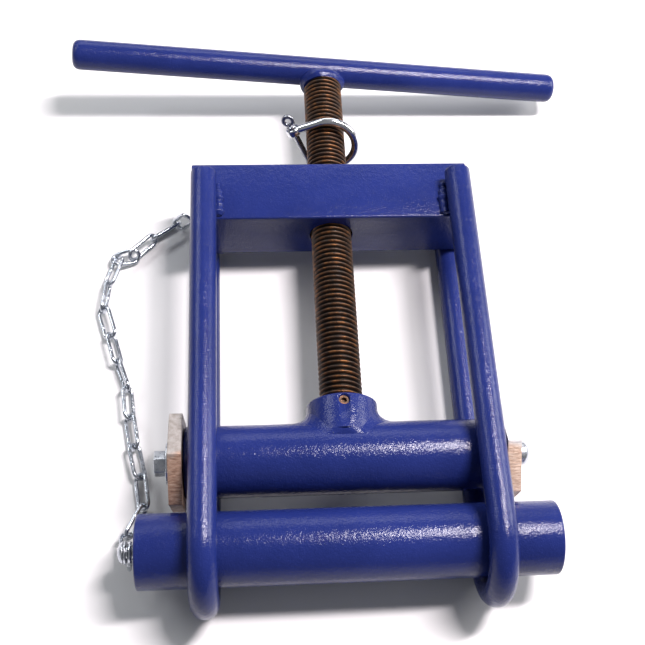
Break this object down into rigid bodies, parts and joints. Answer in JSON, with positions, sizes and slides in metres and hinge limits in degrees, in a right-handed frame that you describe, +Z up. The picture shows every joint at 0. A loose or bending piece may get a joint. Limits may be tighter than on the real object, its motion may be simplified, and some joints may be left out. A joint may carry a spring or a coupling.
{
  "type": "pipe squeeze-off tool",
  "caption": "Screw-down pipe squeezer: two round bars in a welded U-rod frame, T-handle screw, hexagonal stop plates, retaining chain.",
  "frame": {"origin": "under the middle of the tool, on the surface that its two rear legs lie on; the tool lies on its back", "axes": "+Y along the screw towards the T-handle, +X along the squeeze bars away from the chain, +Z up out of the tool's front"},
  "size_m": [0.2624, 0.2982, 0.0576],
  "materials": {
    "blue_enamel": "glossy sprayed enamel with slight orange peel",
    "oiled_screw_steel": "dark oiled thread with rust in the roots",
    "plate_steel": "flame-cut steel edge with light rust",
    "zinc_plate": "bright zinc plating",
    "chain_steel": "bright zinc-plated wire",
    "shackle_steel": "polished galvanised steel",
    "shackle_pin_steel": "dark plated pin",
    "bronze": "plain turned bronze"
  },
  "bodies": {
    "frame": {"top_beam": "blue_enamel", "left_u_rod": "blue_enamel", "right_u_rod": "blue_enamel", "chain_anchor_link": "chain_steel"},
    "jaw": {"upper_bar": "blue_enamel", "screw_collar": "blue_enamel", "retaining_grub_screw": "oiled_screw_steel", "thrust_pad": "bronze", "left_pivot_bush": "bronze", "right_pivot_bush": "bronze", "left_plate_washer": "zinc_plate", "right_plate_washer": "zinc_plate", "left_pivot_bolt": "zinc_plate", "right_pivot_stud": "zinc_plate", "right_lock_nut": "zinc_plate"},
    "screw": {"power_screw": "oiled_screw_steel", "tee_handle": "blue_enamel"},
    "left_stop": {"left_stop_plate": "plate_steel"},
    "right_stop": {"right_stop_plate": "plate_steel"},
    "bar": {"lower_bar": "blue_enamel", "end_screw": "zinc_plate", "end_screw_washer": "zinc_plate", "end_screw_spacer": "zinc_plate", "chain_end_link": "chain_steel"},
    "shackle": {"shackle_bow": "shackle_steel", "shackle_pin": "shackle_pin_steel"},
    "chain_top": {"chain_link_b": "chain_steel", "chain_link_c": "chain_steel"},
    "chain_second": {"chain_link_twisted": "chain_steel", "chain_link_d": "chain_steel", "chain_link_e": "chain_steel"},
    "chain_third": {"chain_link_f": "chain_steel", "chain_link_g": "chain_steel", "chain_link_h": "chain_steel", "chain_link_i": "chain_steel"},
    "chain_end": {"chain_link_j": "chain_steel", "chain_link_k": "chain_steel", "chain_link_l": "chain_steel", "chain_link_m": "chain_steel", "chain_link_n": "chain_steel"}
  },
  "joints": [
    {"name": "jaw_travel", "type": "slide", "parent": "frame", "child": "jaw", "axis": [0, 1, 0], "range_m": [-0.0026, 0.0901]},
    {"name": "screw_turn", "type": "hinge", "parent": "jaw", "child": "screw", "pos_m": [0, 0.02973, 0.0288], "axis": [0, 1, 0], "range_deg": [-360, 12960]},
    {"name": "left_stop_turn", "type": "hinge", "parent": "jaw", "child": "left_stop", "pos_m": [-0.074, -0.08103, 0.0288], "axis": [1, 0, 0], "range_deg": [-180, 180]},
    {"name": "right_stop_turn", "type": "hinge", "parent": "jaw", "child": "right_stop", "pos_m": [0.0723, -0.08103, 0.0288], "axis": [1, 0, 0], "range_deg": [-180, 180]},
    {"name": "lower_bar_slide", "type": "slide", "parent": "frame", "child": "bar", "axis": [1, 0, 0], "range_m": [-0.045, 0]},
    {"name": "shackle_slide", "type": "slide", "parent": "frame", "child": "shackle", "axis": [0, 1, 0], "range_m": [-0.012, 0.02]},
    {"name": "chain_top_turn", "type": "hinge", "parent": "frame", "child": "chain_top", "pos_m": [-0.0777, 0.06012, 0.00435], "axis": [0, 0, 1], "range_deg": [-0.5, 5.42]},
    {"name": "chain_second_turn", "type": "hinge", "parent": "chain_top", "child": "chain_second", "pos_m": [-0.10075, 0.04079, 0.00435], "axis": [0, 0, 1], "range_deg": [-10.43, 0.5]},
    {"name": "chain_third_turn", "type": "hinge", "parent": "chain_second", "child": "chain_third", "pos_m": [-0.11381, 0.00995, 0.00435], "axis": [0, 0, 1], "range_deg": [-17.99, 0.5]},
    {"name": "chain_end_turn", "type": "hinge", "parent": "chain_third", "child": "chain_end", "pos_m": [-0.09886, -0.04836, 0.00435], "axis": [0, 0, 1], "range_deg": [-0.5, 6.05]}
  ],
  "couplings": [
    {"joint": "jaw_travel", "follows": "screw_turn", "m_per_rad": 0.00039789},
    {"joint": "chain_top_turn", "follows": "lower_bar_slide", "rad_per_m": -1.9072},
    {"joint": "chain_second_turn", "follows": "lower_bar_slide", "rad_per_m": 3.8506},
    {"joint": "chain_third_turn", "follows": "lower_bar_slide", "rad_per_m": 6.7846},
    {"joint": "chain_end_turn", "follows": "lower_bar_slide", "rad_per_m": -2.1541}
  ]
}
